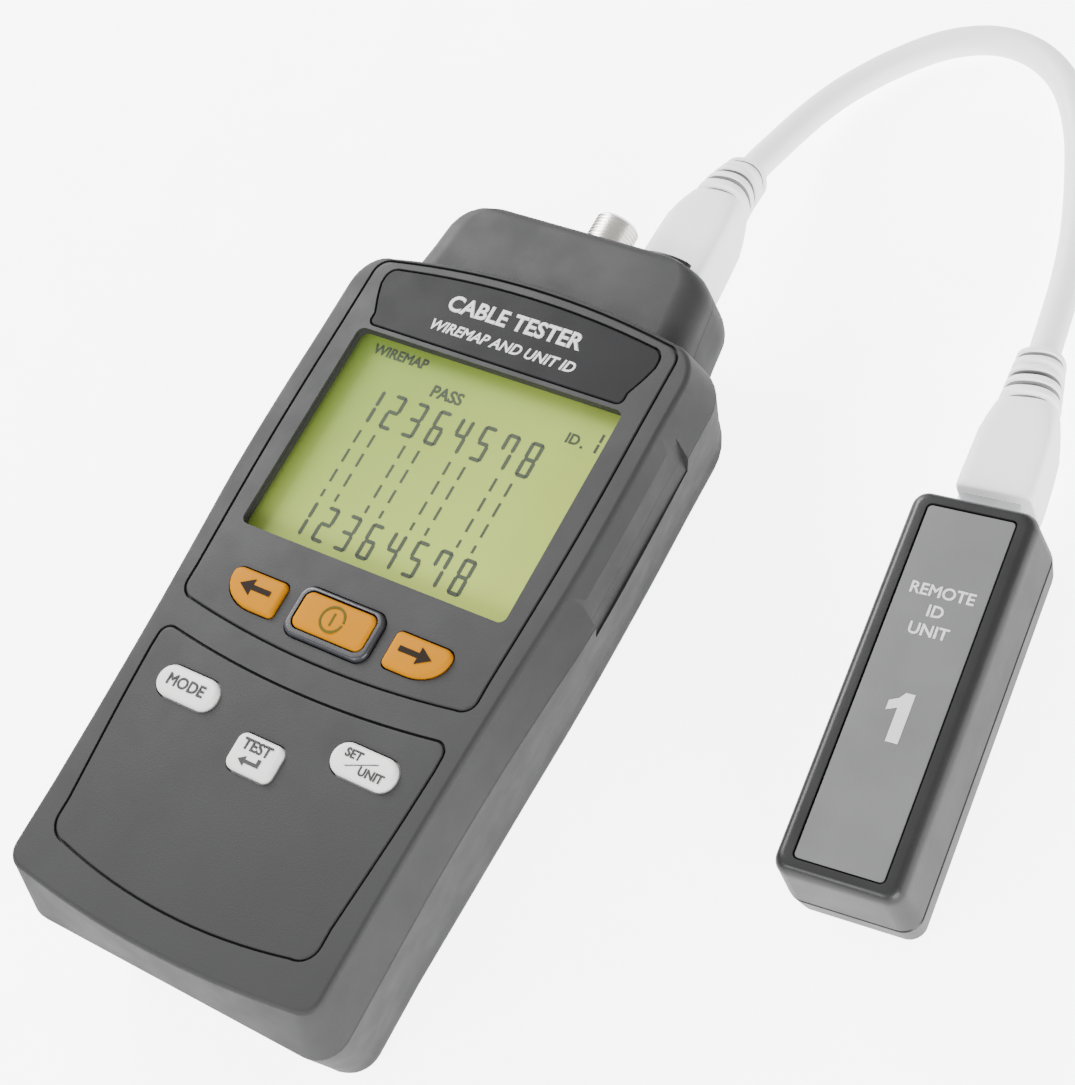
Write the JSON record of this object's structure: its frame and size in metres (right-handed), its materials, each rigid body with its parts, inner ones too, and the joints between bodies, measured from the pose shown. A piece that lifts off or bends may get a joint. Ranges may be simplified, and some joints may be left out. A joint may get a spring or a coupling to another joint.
{
  "type": "network cable tester",
  "caption": "Hand-held network cable tester with display and keys, joined by a short patch lead to a small remote identifier unit.",
  "frame": {"origin": "middle line of the tester's flat back face, about half way along it, on the surface that it lies on", "axes": "+X to the tester's right, +Y out of its connector head, +Z out of its front face"},
  "size_m": [0.1554, 0.2519, 0.0395],
  "materials": {
    "case_plastic": "fine matt texture",
    "plate_plastic": "satin",
    "orange_plastic": "satin",
    "white_plastic": "satin",
    "ring_plastic": "satin",
    "lens_plastic": "clear",
    "lcd_glass": "smooth",
    "diffuser": "milky",
    "elastomer": "matt",
    "board": "lacquered",
    "black_plastic": "matt",
    "nickel": "nickel plated",
    "gold": "gold plated",
    "steel": "zinc plated",
    "clear_plastic": "clear moulded",
    "lead_white": "satin",
    "battery_wrap": "printed foil",
    "red_wire": "satin",
    "label_grey": "satin"
  },
  "bodies": {
    "tester": {"front_case": "case_plastic", "back_case": "case_plastic", "display_bezel": "case_plastic", "name_plate": "plate_plastic", "keypad_panel": "case_plastic", "power_key_ring": "ring_plastic", "lens": "lens_plastic", "lcd_panel": "lcd_glass", "backlight": "diffuser", "zebra_strip": "elastomer", "main_board": "board", "controller_chip": "black_plastic", "buzzer": "black_plastic", "keypad_mat": "elastomer", "case_screw_1": "steel", "case_screw_2": "steel", "case_screw_3": "steel", "case_screw_4": "steel", "board_screw_1": "steel", "board_screw_2": "steel", "board_screw_3": "steel", "board_screw_4": "steel", "lan_jack": "black_plastic", "lan_jack_contacts": "gold", "phone_jack": "black_plastic", "phone_jack_contacts": "gold", "coax_barrel": "nickel", "coax_insulator": "white_plastic", "coax_nut": "nickel", "battery": "battery_wrap", "battery_snap": "black_plastic", "battery_lead_red": "red_wire", "battery_lead_black": "black_plastic"},
    "battery_door": {"battery_door": "case_plastic"},
    "key_left": {"key_left": "orange_plastic"},
    "key_power": {"key_power": "orange_plastic"},
    "key_right": {"key_right": "orange_plastic"},
    "key_mode": {"key_mode": "white_plastic"},
    "key_test": {"key_test": "white_plastic"},
    "key_unit": {"key_unit": "white_plastic"},
    "patch_lead": {"plug_a": "clear_plastic", "plug_a_contacts": "gold", "boot_a": "lead_white", "cable": "lead_white", "boot_b": "lead_white", "plug_b": "clear_plastic", "plug_b_contacts": "gold"},
    "latch_a": {"latch_a": "clear_plastic"},
    "latch_b": {"latch_b": "clear_plastic"},
    "remote": {"remote_top_case": "case_plastic", "remote_bottom_case": "case_plastic", "remote_label": "label_grey", "remote_board": "board", "remote_jack": "black_plastic", "remote_jack_contacts": "gold", "remote_screw_1": "steel", "remote_screw_2": "steel"}
  },
  "joints": [
    {"name": "key_left_press", "type": "slide", "parent": "tester", "child": "key_left", "axis": [0, 0, -1], "range_m": [0, 0.0008], "stiffness_N_per_m": 800},
    {"name": "key_power_press", "type": "slide", "parent": "tester", "child": "key_power", "axis": [0, 0, -1], "range_m": [0, 0.0008], "stiffness_N_per_m": 800},
    {"name": "key_right_press", "type": "slide", "parent": "tester", "child": "key_right", "axis": [0, 0, -1], "range_m": [0, 0.0008], "stiffness_N_per_m": 800},
    {"name": "key_mode_press", "type": "slide", "parent": "tester", "child": "key_mode", "axis": [0, 0, -1], "range_m": [0, 0.0008], "stiffness_N_per_m": 800},
    {"name": "key_test_press", "type": "slide", "parent": "tester", "child": "key_test", "axis": [0, 0, -1], "range_m": [0, 0.0008], "stiffness_N_per_m": 800},
    {"name": "key_unit_press", "type": "slide", "parent": "tester", "child": "key_unit", "axis": [0, 0, -1], "range_m": [0, 0.0008], "stiffness_N_per_m": 800},
    {"name": "battery_door_slide", "type": "slide", "parent": "tester", "child": "battery_door", "axis": [0, -1, 0], "range_m": [0, 0.06]},
    {"name": "lead_pull", "type": "slide", "parent": "tester", "child": "patch_lead", "axis": [0, 1, 0], "range_m": [0, 0.025]},
    {"name": "remote_pull", "type": "slide", "parent": "patch_lead", "child": "remote", "axis": [0.1045, -0.9945, 0], "range_m": [0, 0.025]},
    {"name": "latch_a_press", "type": "hinge", "parent": "patch_lead", "child": "latch_a", "pos_m": [0.0175, 0.0637, 0.01855], "axis": [1, 0, 0], "range_deg": [0, 6], "stiffness_Nm_per_rad": 0.05},
    {"name": "latch_b_press", "type": "hinge", "parent": "patch_lead", "child": "latch_b", "pos_m": [0.09525, 0.04442, 0.00875], "axis": [0.9945, 0.1045, 0], "range_deg": [0, 6], "stiffness_Nm_per_rad": 0.05}
  ]
}
